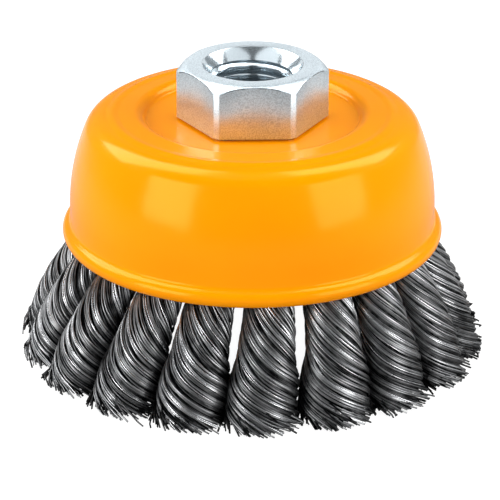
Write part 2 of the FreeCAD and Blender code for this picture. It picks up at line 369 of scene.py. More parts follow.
# %% Steel for the plate
STEEL = (0.33, 0.32, 0.31, 1.0)
STEEL_STAIN = (0.15, 0.13, 0.115, 1.0)
STEEL_ROUGHNESS = (0.36, 0.58)
GRAIN_DEPTH = 0.02 * MM
steel, tree, shader, place = new_material("sheet_steel", 1.0, 0.45)
clouds = noise(tree, place, 90.0, 5.0, 0.6)
stained = remap(tree, clouds, 0.42, 0.68, 0.0, 1.0)
connect(tree, mix_colour(tree, stained, STEEL, STEEL_STAIN), shader.inputs["Base Color"])
connect(tree, remap(tree, clouds, NOISE_LOW, NOISE_HIGH, *STEEL_ROUGHNESS), shader.inputs["Roughness"])
bump(tree, shader, noise(tree, place, 1800.0, 2.0), GRAIN_DEPTH, 0.35)
print(steel.name, "has", len(tree.nodes), "nodes")

# %% [markdown]
# ### Drawn wire
#
# The wires are hard-drawn steel, grey with a trace of drawing soap. Each wire has its own tone, a
# little different from its neighbours, and on top of it lies painted shade: darker in the grooves,
# in the nook between knots, in the second layer and in the middle of the knot. The mesh carries
# that number for each point, and the material reads it. The colour also drifts along the wire, and
# a dark wire is rougher than a bright one.

# %% Steel for the wires
WIRE_DARK = (0.012, 0.0125, 0.0135, 1.0)
WIRE_LIGHT = (0.80, 0.81, 0.825, 1.0)
WIRE_DRIFT = 0.12
DARK_ROUGHNESS = 0.45
LIGHT_ROUGHNESS = 0.2
wire_steel, tree, shader, place = new_material("drawn_wire", 1.0, 0.36)
tone_and_shade = out(tree, add_node(tree, "ShaderNodeAttribute", attribute_name="tone_and_shade"), "Fac")
drift = cloudy(tree, place, 420.0, -WIRE_DRIFT, WIRE_DRIFT)
colour = mix_colour(tree, (tone_and_shade + drift).at_least(0.0), WIRE_DARK, WIRE_LIGHT)
connect(tree, colour, shader.inputs["Base Color"])
roughness = remap(tree, tone_and_shade, 0.0, 1.0, DARK_ROUGHNESS, LIGHT_ROUGHNESS)
connect(tree, roughness, shader.inputs["Roughness"])
print(wire_steel.name, "has", len(tree.nodes), "nodes")

# %% [markdown]
# ## The pressed cup
#
# The cup starts as a flat disc of sheet. The press leaves a sunk seat for the nut, a step up to the
# land, a soft ridge round the edge of the land, a tight shoulder, a wall that is slightly crowned,
# and a rolled bead at the rim. Every stretch is an arc or a straight line, so the section is worked
# out from a few sizes, as in CAD. The inner face repeats the outer one, set back by the thickness
# of the sheet.

# %% Sizes of the cup
SHEET = 1.2
NECK_HOLE = 9.05
SEAT_Z = 39.6
SEAT_RINGS = (11.0, 13.0, 15.0)
SEAT_FOLD_RADIUS = 0.5
RECESS_RADIUS = 17.1
STEP_RUN = 2.2
STEP_RISE = 1.3
RIDGE_RADIUS = 22.9
RIDGE_HALF_WIDTH = 1.2
RIDGE_HEIGHT = 0.24
RIDGE_STEPS = 8
WALL_RADIUS = 30.1
WALL_TOP_Z = 24.65
CROWN_RADIUS = 34.7
SHOULDER_RADIUS = 4.0
SHOULDER_TOP_Z = 40.4
BEAD_X = 29.9
BEAD_Z = 20.5
BEAD_RADIUS = 1.45
COVE_RADIUS = 0.8

# %% Where the arcs of the cup meet
step_sum = (STEP_RUN ** 2 + STEP_RISE ** 2) / (2 * STEP_RISE)
step_angle = math.degrees(math.asin(STEP_RUN / step_sum))
brow_radius = step_sum - SEAT_FOLD_RADIUS
brow = Vector((RECESS_RADIUS + STEP_RUN, SEAT_Z + STEP_RISE - brow_radius))
crown_x = WALL_RADIUS - CROWN_RADIUS
crown_reach = CROWN_RADIUS - SHOULDER_RADIUS
crown_rise = math.asin((SHOULDER_TOP_Z - SHOULDER_RADIUS - WALL_TOP_Z) / crown_reach)
crown_angle = math.degrees(crown_rise)
shoulder = Vector((crown_x + crown_reach * math.cos(crown_rise), SHOULDER_TOP_Z - SHOULDER_RADIUS))
across = shoulder - brow
lean = math.degrees(math.atan2(-across.y, across.x)
                    - math.asin((SHOULDER_RADIUS - brow_radius) / across.length))
print("the land leans", round(lean, 1), "degrees")


# %% Section of the cup
def ridge_ring(depth):
    """A soft ridge that runs round the edge of the land."""
    turn = math.radians(lean)
    start = brow + Vector((math.sin(turn), math.cos(turn))) * (brow_radius - depth)
    points = []
    for i in range(RIDGE_STEPS + 1):
        share = 2 * i / RIDGE_STEPS - 1
        r = RIDGE_RADIUS + share * RIDGE_HALF_WIDTH
        rise = RIDGE_HEIGHT * math.cos(share * math.pi / 2) ** 2
        points.append((r, start.y - (r - start.x) * math.tan(turn) + rise))
    return points


def skin(depth):
    """One face of the sheet, from the hole for the nut to the top of the straight wall."""
    return ([(r, SEAT_Z - depth) for r in (NECK_HOLE, *SEAT_RINGS)]
            + arc(RECESS_RADIUS, SEAT_Z + SEAT_FOLD_RADIUS, SEAT_FOLD_RADIUS + depth,
                  -90, step_angle - 90, 5)
            + arc(brow.x, brow.y, brow_radius - depth, 90 + step_angle, 90 - lean, 9)
            + ridge_ring(depth)
            + arc(shoulder.x, shoulder.y, SHOULDER_RADIUS - depth, 90 - lean, crown_angle, 14)
            + arc(crown_x, WALL_TOP_Z, CROWN_RADIUS - depth, crown_angle, 0, 20)[1:])


cove_reach = BEAD_RADIUS + COVE_RADIUS
cove_angle = math.degrees(math.acos((WALL_RADIUS + COVE_RADIUS - BEAD_X) / cove_reach))
cove_z = BEAD_Z + cove_reach * math.sin(math.radians(cove_angle))
hem_angle = -math.degrees(math.acos((WALL_RADIUS - SHEET - BEAD_X) / BEAD_RADIUS))
rim = (arc(WALL_RADIUS + COVE_RADIUS, cove_z, COVE_RADIUS, 180, 180 + cove_angle, 6)
       + arc(BEAD_X, BEAD_Z, BEAD_RADIUS, cove_angle, hem_angle, 20)[1:])
cup_section = skin(0.0) + rim + skin(SHEET)[::-1]
print("cup section:", len(cup_section), "points")

# %% Make the cup
CUP_SEGMENTS = 192
cup_rings = [turned_ring(cup_section, 2 * math.pi * i / CUP_SEGMENTS) for i in range(CUP_SEGMENTS)]
cup_mesh = grid_mesh("enamelled_cup", cup_rings)
outward(cup_mesh)
cup = add_piece("enamelled_cup", cup_mesh, enamel, "cup_shell")

# %% [markdown]
# ## The hub nut
#
# The nut is a hexagon 22 mm across the flats. Its corners are turned down a little, and its top is
# chamfered by a cone, which leaves the curved lines that every nut has where the cone meets the
# flats. A grid can follow all of that: at each angle the section reaches out to the hexagon's
# plan, and the cone stops it there. At its foot a narrow slit parts it from the cup. The corners of
# the section are then softened, because a real edge always catches a line of light.

# %% Sizes of the nut
FLATS = 22.0
TURNED_RADIUS = 12.4
HEX_TURN = 2.1
MAJOR_RADIUS = 7.0
MINOR_RADIUS = 6.188
PITCH = 1.5
BLANK_BORE = 5.9
COUNTERSINK_DEPTH = 1.55
THROAT_DEPTH = 3.0
NECK_RADIUS = 9.0
COLLAR_RADIUS = 11.0
COLLAR_BOTTOM_Z = 35.7
COLLAR_TOP_Z = 37.2
COLLAR_MOUTH = 0.9
SLIT_DEPTH = 0.6
SLIT_HEIGHT = 0.35
EDGE_BLEND = 0.03
EDGE_SOFTNESS = 0.12


# %% Plan and section of the nut
def soften(section, reach):
    """Rounds every corner of a closed section: each point becomes three, close to the corner."""
    soft = []
    for i, point in enumerate(section):
        here = Vector(point)
        back = Vector(section[i - 1]) - here
        on = Vector(section[(i + 1) % len(section)]) - here
        back *= min(reach / back.length, 0.45)
        on *= min(reach / on.length, 0.45)
        soft += [tuple(here + back), tuple(here + (back + on) / 4), tuple(here + on)]
    return soft


def plan_radius(angle):
    """How far the nut reaches at an angle in degrees: a flat or a turned corner, blended."""
    from_flat = math.radians((angle - HEX_TURN) % 60 - 30)
    flat = FLATS / 2 / math.cos(from_flat)
    share = math.exp(-flat / EDGE_BLEND + TURNED_RADIUS / EDGE_BLEND)
    return TURNED_RADIUS - EDGE_BLEND * math.log(share + 1)


def wall_top(reach):
    """Height of the chamfer at a distance from the axis: gentle at first, then steeper."""
    gentle = max(0.0, min(reach, BROW_RADIUS) - FACE_RADIUS) * GENTLE_SLOPE
    return NUT_TOP_Z - gentle - max(0.0, reach - BROW_RADIUS) * STEEP_SLOPE


def nut_section(outer):
    """Section of the nut where its plan reaches out to the given radius."""
    inside_brow = min(outer, BROW_RADIUS) - 0.1
    return soften([
        (MINOR_RADIUS + COLLAR_MOUTH, COLLAR_BOTTOM_Z),
        (COLLAR_RADIUS - 0.1, COLLAR_BOTTOM_Z), (COLLAR_RADIUS, COLLAR_BOTTOM_Z + 0.5),
        (COLLAR_RADIUS, COLLAR_TOP_Z), (NECK_RADIUS, COLLAR_TOP_Z), (NECK_RADIUS, SEAT_Z),
        (outer - SLIT_DEPTH - 0.1, SEAT_Z), (outer - SLIT_DEPTH, SEAT_Z + SLIT_HEIGHT),
        (outer, SEAT_Z + SLIT_HEIGHT + 0.03), (outer, wall_top(outer)),
        (inside_brow, wall_top(inside_brow)), (FACE_RADIUS, NUT_TOP_Z),
        (COUNTERSINK_RADIUS, NUT_TOP_Z), (MAJOR_RADIUS, NUT_TOP_Z - COUNTERSINK_DEPTH),
        (BLANK_BORE, NUT_TOP_Z - THROAT_DEPTH), (BLANK_BORE, COLLAR_BOTTOM_Z + 1.2),
    ], EDGE_SOFTNESS)


# %% Make the blank of the nut
turned_edge = math.degrees(math.acos(FLATS / 2 / TURNED_RADIUS))
near_edge = [turned_edge + step for step in (-2.0, -1.0, -0.6, -0.3, 0.0, 0.3, 0.6, 1.0)]
half_side = [turned_edge * i / 6 for i in range(6)] + near_edge + [29.0]
side = sorted({-a for a in half_side} | set(half_side)) + [30.0]
angles = [HEX_TURN + 30 + 60 * i + a for i in range(6) for a in side]
nut_rings = [turned_ring(nut_section(plan_radius(a)), math.radians(a)) for a in angles]
nut_mesh = grid_mesh("hub_nut_blank", nut_rings)
outward(nut_mesh)
print("nut blank:", len(nut_rings), "sections of", len(nut_rings[0]), "points")

# %% [markdown]
# ### The thread
#
# The hole has an M14 x 1.5 thread. The way to model it is the way to make it: a tap is cut out of
# the blank. The tap is a closed solid whose ridge climbs one pitch with each turn, and an exact
# Boolean takes it away from the nut. The blank's own hole is narrower than the thread, so the tap
# cuts every face of it.

# %% Shape of the tap
TAP_SEGMENTS = 96
TAP_TURNS = 12
TAP_BOTTOM_Z = 32.04
CREST_BEVEL = 0.1
flank = (MAJOR_RADIUS - MINOR_RADIUS) * math.tan(math.radians(30))
ridge = [(CREST_BEVEL, MINOR_RADIUS), (PITCH / 4 - CREST_BEVEL, MINOR_RADIUS),
         (PITCH / 4 + CREST_BEVEL / 2, MINOR_RADIUS + CREST_BEVEL),
         (PITCH / 4 + flank, MAJOR_RADIUS), (PITCH - flank, MAJOR_RADIUS),
         (PITCH - CREST_BEVEL / 2, MINOR_RADIUS + CREST_BEVEL)]


def make_tap():
    """A closed solid with a right-handed thread."""
    rows = [(i * PITCH + z, r) for i in range(TAP_TURNS) for z, r in ridge]
    work = bmesh.new()
    grid = []
    for i in range(TAP_SEGMENTS):
        climb = TAP_BOTTOM_Z + PITCH * i / TAP_SEGMENTS
        points = turned_ring([(r, z + climb) for z, r in rows], 2 * math.pi * i / TAP_SEGMENTS)
        grid.append([work.verts.new([v * MM for v in point]) for point in points])
    for i, here in enumerate(grid):
        there = grid[(i + 1) % TAP_SEGMENTS]
        shift = len(ridge) if i == TAP_SEGMENTS - 1 else 0
        for j in range(len(rows) - 1 - shift):
            work.faces.new((here[j], there[j + shift], there[j + 1 + shift], here[j + 1]))
    centre = TAP_BOTTOM_Z + TAP_TURNS * PITCH / 2
    open_edges = [edge for edge in work.edges if edge.is_boundary]
    for tip_z in (TAP_BOTTOM_Z - PITCH, TAP_BOTTOM_Z + (TAP_TURNS + 1) * PITCH):
        tip = work.verts.new((0, 0, tip_z * MM))
        for edge in open_edges:
            if (edge.verts[0].co.z > centre * MM) == (tip_z > centre):
                work.faces.new((*edge.verts, tip))
    bmesh.ops.recalc_face_normals(work, faces=work.faces)
    mesh = bpy.data.meshes.new("tap")
    work.to_mesh(mesh)
    work.free()
    return mesh


# %% Cut the thread
tap = bpy.data.objects.new("tap", make_tap())
blank = bpy.data.objects.new("nut_blank", nut_mesh)
for made in (tap, blank):
    bpy.context.scene.collection.objects.link(made)
cut = blank.modifiers.new("thread", "BOOLEAN")
cut.operation = "DIFFERENCE"
cut.solver = "EXACT"
cut.object = tap
depsgraph = bpy.context.evaluated_depsgraph_get()
threaded = bpy.data.meshes.new_from_object(blank.evaluated_get(depsgraph))
threaded.name = "hub_nut_threaded"
outward(threaded, 24)
for spent in (tap, blank):
    bpy.data.objects.remove(spent)
nut = add_piece("hub_nut_threaded", threaded, zinc, "hub_nut")

# %% [markdown]
# ## The plate inside
#
# The CAD plate already has its shape: a dished disc with a hole for each knot. It stays as it is
# and gets the sheet steel finish.

# %% Finish of the plate
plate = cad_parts["knot_plate"]
for plate_slot in plate.material_slots:
    plate_slot.material = steel
print("plate finish:", [plate_slot.material.name for plate_slot in plate.material_slots])

# %% [markdown]
# ## How a knot is laid
#
# A bundle of straight wires is pushed through a hole in the plate, folded over its edge and
# twisted tight by a machine, by about one turn in the length of the knot. The outermost wires lie
# side by side round the knot like the strands of a rope. Towards the foot the knot is wider, the
# lay is flatter, and the cut ends spring out along their own direction.
#
# That is a rule, so Geometry Nodes can lay the wires. The first tree is a small one that only says
# where a wire is: it takes the share of the way down, the angle round the knot and the depth under
# the surface, and gives a point. It also says how deep the point lies in the nook between this knot
# and the next, where little light comes. The other trees use it as often as they need.

# %% Sizes of a knot
KNOT_COUNT = 18
FIRST_ANGLE = -82.8
KNOT_SIZES = {
    "Height": 21.6 * MM,
    "Top radius": 23.7 * MM,
    "Foot radius": 32.5 * MM,
    "Top gap": 1.0 * MM,
    "Foot gap": -0.7 * MM,
    "Swing": 2.7 * MM,
    "Top thickness": 3.1 * MM,
    "Foot thickness": 5.9 * MM,
    "Nip": 19.6 * MM,
    "Turns": 1.0,
    "Phase": 0.0,
}
LAY_GAIN = 0.3
AXIS_POWER = 2.2
SWELL_POWER = 1.3
SWELL_START = 0.48
SWELL_END = 0.70


# %% Helpers for Geometry Nodes
def new_tree(name, inputs, outputs):
    """An empty Geometry Nodes tree with a knot's sizes and its own inputs and outputs.

    An input is given as (name, kind, value), and an output as (name, kind).
    """
    tree = bpy.data.node_groups.new(name, "GeometryNodeTree")
    inputs = inputs + [(title, "Float", value) for title, value in KNOT_SIZES.items()]
    for title, kind, value in inputs:
        socket = tree.interface.new_socket(title, in_out="INPUT", socket_type="NodeSocket" + kind)
        if value is not None:
            socket.default_value = value
    for title, kind in outputs:
        tree.interface.new_socket(title, in_out="OUTPUT", socket_type="NodeSocket" + kind)
    entry = tree.nodes.new("NodeGroupInput")
    given = {title: out(tree, entry, title) for title, kind, value in inputs}
    sizes = {title: given[title] for title in KNOT_SIZES}
    return tree, given, sizes, tree.nodes.new("NodeGroupOutput")


def use_tree(tree, inner, inputs):
    """Uses one tree as a node of another."""
    return add_node(tree, "GeometryNodeGroup", inputs, node_tree=inner)


# %% Tree: where a wire is
path_tree, given, sizes, result = new_tree("wire path", [
    ("Share", "Float", 0.0), ("Angle", "Float", 0.0), ("Depth", "Float", 0.0), ("Fill", "Float", 1.0),
], [("Place", "Vector"), ("Nook", "Float")])
share = given["Share"]
z = given["Height"] * (1 - share)
middle = (given["Foot radius"] - (given["Foot radius"] - given["Top radius"])
          * (z / given["Height"]).at_least(0.0) ** AXIS_POWER)
spread = ((share - SWELL_START) / (SWELL_END - SWELL_START)).at_most(1.0).at_least(0.0)
eased = spread * spread * (3 - 2 * spread)
gap = given["Top gap"] + (given["Foot gap"] - given["Top gap"]) * eased
half_width = middle * math.sin(math.pi / KNOT_COUNT) - gap / 2
swell = (1 - z / given["Nip"]).at_least(0.0) ** SWELL_POWER
half_thickness = given["Top thickness"] + (given["Foot thickness"] - given["Top thickness"]) * swell
twist = 2 * math.pi * given["Turns"] * ((1 - LAY_GAIN) * share + LAY_GAIN * share * share)
around = given["Angle"] + given["Phase"] + twist
radial = middle + (half_thickness - given["Depth"]) * given["Fill"] * around.cosine()
sideways = (half_width - given["Depth"]) * given["Fill"] * around.sine() - given["Swing"] * share
point = add_node(path_tree, "ShaderNodeCombineXYZ", {"X": radial, "Y": sideways, "Z": z})
connect(path_tree, out(path_tree, point), result.inputs["Place"])
side_share = around.sine() * around.sine()
connect(path_tree, side_share * side_share * eased, result.inputs["Nook"])
print(path_tree.name, "has", len(path_tree.nodes), "nodes")

# %% [markdown]
# ### From points to wires
#
# One long mesh line holds the points of every wire of a layer. It is cut between one wire and the
# next, each point is moved to its place, and Curve to Mesh gives the wires their thickness. The
# point's number says which wire it belongs to. A random number with the wire's number as its ID is
# the same for all the points of a wire, and differs from wire to wire.

# %% Helpers for wires
def wire_numbers(tree, given):
    """The wire and the step that each point belongs to, and a source of random numbers."""
    index = out(tree, tree.nodes.new("GeometryNodeInputIndex"))
    wire = ((index + 0.5) / given["Points"]).floor()

    def chance(offset, low, high):
        """A random number for each wire, between two values."""
        inputs = {2: low, 3: high, "ID": wire, "Seed": given["Seed"] + offset}
        return out(tree, add_node(tree, "FunctionNodeRandomValue", inputs, data_type="FLOAT"), 1)

    return wire, index - wire * given["Points"], chance


def with_tone_and_shade(tree, geometry, tone_and_shade=0.0):
    """Stores the number that the wire's material reads."""
    inputs = {"Geometry": out(tree, geometry), "Name": "tone_and_shade", "Value": tone_and_shade}
    return add_node(tree, "GeometryNodeStoreNamedAttribute", inputs, data_type="FLOAT", domain="POINT")


def make_wires(tree, given, step, place, tone_and_shade, sides):
    """Cuts one long line into wires, moves their points and gives them their thickness."""
    line = add_node(tree, "GeometryNodeMeshLine", {"Count": given["Wires"] * given["Points"]})
    last = add_node(tree, "FunctionNodeCompare", {0: step, 1: given["Points"] - 1.5},
                    operation="GREATER_THAN")
    apart = add_node(tree, "GeometryNodeDeleteGeometry",
                     {"Geometry": out(tree, line), "Selection": out(tree, last)},
                     domain="EDGE", mode="EDGE_FACE")
    toned = with_tone_and_shade(tree, apart, tone_and_shade)
    laid = add_node(tree, "GeometryNodeSetPosition", {"Geometry": out(tree, toned), "Position": place})
    curves = add_node(tree, "GeometryNodeMeshToCurve", {0: out(tree, laid)})
    profile = add_node(tree, "GeometryNodeCurvePrimitiveCircle",
                       {"Resolution": sides, "Radius": given["Wire radius"]})
    thick = add_node(tree, "GeometryNodeCurveToMesh",
                     {"Curve": out(tree, curves), "Profile Curve": out(tree, profile), "Fill Caps": True})
    return out(tree, add_node(tree, "GeometryNodeSetShadeSmooth", {"Geometry": out(tree, thick)}))


# %% [markdown]
# ### A layer of wires
#
# Random numbers give each wire its own depth, wander, length and tone. Here and there the wires
# leave a groove between them, as the strands of a rope do, and down in it their tone is painted
# darker: painted shade. The tone also gets painted shade in the nook between this knot and the next.
# Past a certain share a wire leaves the knot and goes straight on, because its cut end is free. A
# few go astray. No wire reaches past the circle of the tips or below the floor.

# %% Tree: a layer of wires
TRIM_POWER = 1.6
END_MARGIN = 0.012
STRAY_POWER = 14
STRAY_LENGTH = 0.1
PLACE_JITTER = 0.22
GROOVE_SWING = 1.2
FULL_TURN = 6.28
layer_tree, given, sizes, result = new_tree("wire layer", [
    ("Wires", "Int", 50), ("Points", "Int", 40), ("Sides", "Int", 5), ("Seed", "Int", 0),
    ("Start", "Float", 0.0), ("Depth", "Float", 0.0), ("Inside", "Float", 0.0),
    ("Groove", "Float", 0.5 * MM), ("Groups", "Float", 11.0), ("Wire radius", "Float", 0.14 * MM),
    ("Trim", "Float", 0.8 * MM), ("Free end", "Float", 0.1), ("Splay", "Float", 0.2),
    ("Reach", "Float", 38.6 * MM), ("Dark", "Float", 0.08), ("Light", "Float", 1.0),
], [("Wires", "Geometry")])
tree = layer_tree
wire, step, chance = wire_numbers(tree, given)
trim = given["Trim"] * chance(1, 0.0, 1.0) ** TRIM_POWER
end_share = 1 - trim / given["Height"] - END_MARGIN
stray = chance(2, 0.0, 1.0) ** STRAY_POWER
leave = end_share - (given["Free end"] * chance(3, 0.25, 1.0) + STRAY_LENGTH * stray)
down = given["Start"] + (end_share - given["Start"]) * (step / (given["Points"] - 1))
held = down.at_most(leave)
loose = (down - leave).at_least(0.0)
turn_share = (wire + chance(4, -PLACE_JITTER, PLACE_JITTER)) / given["Wires"]


def wave(size, speed, offset):
    """A wave along each wire that starts anywhere."""
    return size * (held * speed + chance(offset, 0.0, FULL_TURN)).sine()


angle = 2 * math.pi * turn_share + wave(0.025, 9, 5) + wave(0.012, 23, 6)
groups = 2 * math.pi * given["Groups"] * turn_share + GROOVE_SWING * (held * 5).sine()
valley = (1 + groups.cosine()) / 2
depth = (given["Depth"] + given["Wire radius"] + given["Groove"] * valley ** 4
         + given["Wire radius"] * (chance(7, -0.1, 1.0) + wave(0.3, 14, 8)))
fill = 1 - given["Inside"] * (1 - chance(9, 0.0, 0.9) ** 0.5)
print(layer_tree.name, "has", len(layer_tree.nodes), "nodes so far")

# %% The same tree: free ends and tone
TANGENT_STEP = 0.02
VALLEY_SHADE = 0.8
NOOK_SHADE = 0.9
TONE_POWER = 1.1


def on_path(at_share):
    """The wire path at a share of the way down."""
    return use_tree(tree, path_tree, dict(sizes, Share=at_share, Angle=angle, Depth=depth, Fill=fill))


def vector_math(operation, first, second):
    """A sum or a difference of two vectors."""
    node = add_node(tree, "ShaderNodeVectorMath", {0: first, 1: second}, operation=operation)
    return out(tree, node)


held_place = on_path(held)
ahead = vector_math("SUBTRACT", out(tree, on_path(leave)), out(tree, on_path(leave - TANGENT_STEP)))
straight = add_node(tree, "ShaderNodeVectorMath", {0: ahead, "Scale": loose / TANGENT_STEP},
                    operation="SCALE")
splay = loose * given["Height"] * given["Splay"]
spring = add_node(tree, "ShaderNodeCombineXYZ", {
    "X": splay * (chance(10, -0.4, 1.0) + 2 * stray), "Y": splay * chance(11, -1.0, 1.0), "Z": 0.0})
moved = vector_math("ADD", out(tree, held_place), out(tree, straight))
x, y, z = coordinates(tree, vector_math("ADD", moved, out(tree, spring)))
hold = ((given["Reach"] - given["Wire radius"]) / from_axis(x, y)).at_most(1.0)
point = add_node(tree, "ShaderNodeCombineXYZ", {"X": x * hold, "Y": y * hold,
                                                "Z": z.at_least(given["Wire radius"])})
own_tone = given["Dark"] + (given["Light"] - given["Dark"]) * chance(12, 0.0, 1.0) ** TONE_POWER
# Painted shade: the tone is darker down in the grooves and in the nook between knots, where little light
# comes.
shade = (1 - VALLEY_SHADE * valley ** 3) * (1 - NOOK_SHADE * out(tree, held_place, "Nook"))
wires = make_wires(tree, given, step, out(tree, point), own_tone * shade, given["Sides"])
connect(tree, wires, result.inputs[0])
print(layer_tree.name, "has", len(layer_tree.nodes), "nodes")

# %% [markdown]
# ### The fold over the plate
#
# Above the knot the same wires go through a hole of the plate and come back over its edge. They
# are seen only from below, so a few wires on a simple U are enough: two straight legs and half a
# ring, twisted a little, that gather into the top of the knot.

# %% Tree: the fold over the plate
SKIRT_RADIUS = 23.0 * MM
WIRE_FOLD_RADIUS = 2.9 * MM
FOLD_Z = 25.8 * MM
JOIN_Z = 19.7 * MM
JOIN_SHARE = 0.206
BUNDLE_RADIUS = 1.9 * MM
FOLD_TWIST = 60.0
GATHER_POWER = 1.5
fold_tree, given, sizes, result = new_tree("wire fold", [
    ("Wires", "Int", 22), ("Points", "Int", 36), ("Seed", "Int", 0), ("Wire radius", "Float", 0.23 * MM),
], [("Wires", "Geometry")])
tree = fold_tree
wire, step, chance = wire_numbers(tree, given)
leg = FOLD_Z - JOIN_Z
half_ring = math.pi * WIRE_FOLD_RADIUS
travelled = step / (given["Points"] - 1) * (2 * leg + half_ring)
bend = ((travelled - leg) / WIRE_FOLD_RADIUS).at_least(0.0).at_most(math.pi)
below = (leg - travelled).at_least(0.0) + (travelled - leg - half_ring).at_least(0.0)
spin = 2 * math.pi * wire / given["Wires"] + FOLD_TWIST * travelled + 0.3 * chance(1, -1.0, 1.0)
offset = BUNDLE_RADIUS - given["Wire radius"] * chance(2, 1.0, 1.6)
ring = WIRE_FOLD_RADIUS + offset * spin.cosine()
gather = (below / leg).at_most(1.0) ** GATHER_POWER
join_radius = given["Top radius"] + (given["Foot radius"] - given["Top radius"]) * JOIN_SHARE
to_join = join_radius - SKIRT_RADIUS + WIRE_FOLD_RADIUS * bend.cosine()
point = add_node(tree, "ShaderNodeCombineXYZ", {
    "X": SKIRT_RADIUS - ring * bend.cosine() + gather * to_join, "Y": offset * spin.sine(),
    "Z": FOLD_Z + ring * bend.sine() - below})
wires = make_wires(tree, given, step, out(tree, point), chance(3, 0.15, 0.9), 4)
connect(tree, wires, result.inputs[0])
print(fold_tree.name, "has", len(fold_tree.nodes), "nodes")

# %% [markdown]
# ### The dark middle
#
# Between the wires of a knot there are more wires, packed out of sight. A closed body stands for
# them, so that no light shows through, and it has the darkest tone of the wire: painted shade, as
# those packed wires lie in shade. It is a cylinder whose points are moved on the wire path, some
# way under the outer wires.

# %% Tree: the dark middle of a knot
core_tree, given, sizes, result = new_tree("knot core", [
    ("Depth", "Float", 1.0 * MM), ("End", "Float", 0.85)], [("Core", "Geometry")])
tree = core_tree
tube = add_node(tree, "GeometryNodeMeshCylinder", {"Vertices": 24, "Side Segments": 18,
                                                   "Radius": 1.0, "Depth": 1.0})
x, y, z = coordinates(tree, out(tree, tree.nodes.new("GeometryNodeInputPosition")))
place = use_tree(tree, path_tree, dict(sizes, Share=(0.5 - z) * given["End"], Fill=1.0,
                                       Angle=x.math("ARCTAN2", y, x), Depth=given["Depth"]))
shaped = add_node(tree, "GeometryNodeSetPosition", {"Geometry": out(tree, tube),
                                                    "Position": out(tree, place)})
# Painted shade: the middle is stored with tone 0, the darkest colour of the wire.
connect(tree, out(tree, with_tone_and_shade(tree, shaped)), result.inputs[0])
print(core_tree.name, "has", len(core_tree.nodes), "nodes")

# %% [markdown]
# ### One knot
#
# The last tree puts a knot together: the outer layer, a second layer that shows in the grooves,
# short wires that fill the foot, the dark middle and the fold. It turns the whole to the knot's
# place round the ring. Realize Instances and Set Material end it.

# %% Tree: a whole knot
knot_tree, given, sizes, result = new_tree("twisted knot", [
    ("Geometry", "Geometry", None), ("Seed", "Int", 0), ("Ring angle", "Float", 0.0),
    ("Outer wires", "Int", 74), ("Second wires", "Int", 52), ("Foot wires", "Int", 190),
    ("Steel", "Material", None),
], [("Knot", "Geometry")])
tree = knot_tree
seed = given["Seed"]
outer = use_tree(tree, layer_tree, dict(sizes, **{
    "Wires": given["Outer wires"], "Points": 36, "Sides": 4, "Seed": seed, "Free end": 0.08,
    "Splay": 0.1}))
# Painted shade: the second layer gets only dark tones, as it lies in the shade of the outer wires.
second = use_tree(tree, layer_tree, dict(sizes, **{
    "Wires": given["Second wires"], "Points": 30, "Sides": 3, "Seed": seed + 100, "Depth": 0.4 * MM,
    "Groove": 0.1 * MM, "Trim": 1.8 * MM, "Wire radius": 0.18 * MM, "Dark": 0.0, "Light": 0.15}))
foot = use_tree(tree, layer_tree, dict(sizes, **{
    "Wires": given["Foot wires"], "Points": 7, "Sides": 4, "Seed": seed + 200, "Depth": 0.4 * MM,
    "Inside": 1.0, "Start": 0.72, "Trim": 0.8 * MM, "Free end": 0.06, "Splay": 0.1,
    "Wire radius": 0.23 * MM, "Dark": 0.1, "Light": 1.0}))
core = use_tree(tree, core_tree, sizes)
fold = use_tree(tree, fold_tree, dict(sizes, Seed=seed + 300))
joined = tree.nodes.new("GeometryNodeJoinGeometry")
for layer in (outer, second, foot, core, fold):
    connect(tree, out(tree, layer), joined.inputs[0])
turning = add_node(tree, "ShaderNodeCombineXYZ", {"Z": given["Ring angle"]})
in_place = add_node(tree, "GeometryNodeTransform", {"Geometry": out(tree, joined),
                                                    "Rotation": out(tree, turning)})
real = add_node(tree, "GeometryNodeRealizeInstances", {"Geometry": out(tree, in_place)})
dressed = add_node(tree, "GeometryNodeSetMaterial", {"Geometry": out(tree, real),
                                                     "Material": given["Steel"]})
connect(tree, out(tree, dressed), result.inputs[0])
print(knot_tree.name, "has", len(knot_tree.nodes), "nodes")

# %% [markdown]
# ### Eighteen knots
#
# Every knot is made by the same tree with another seed and another place on the ring. A hand-fed
# machine never sets two of them quite alike, so the place, the swing and the twist vary a little,
# and four knots stand further askew. The inputs of a modifier are set by the identifiers of its
# sockets. The evaluated object is then turned into a plain mesh, so that each knot is an ordinary
# piece when it replaces its CAD part.

# %% Make the knots
PLACE_LOOSENESS = 0.3
SWING_LOOSENESS = 0.4
TURN_LOOSENESS = 0.08
ASKEW = {16: (0.5, 0.2), 17: (1.1, 0.5), 18: (-0.5, -0.2), 4: (0.9, 0.3)}


def loosely(hand, size):
    """A random number, up to a size either way."""
    return hand.uniform(-size, size)


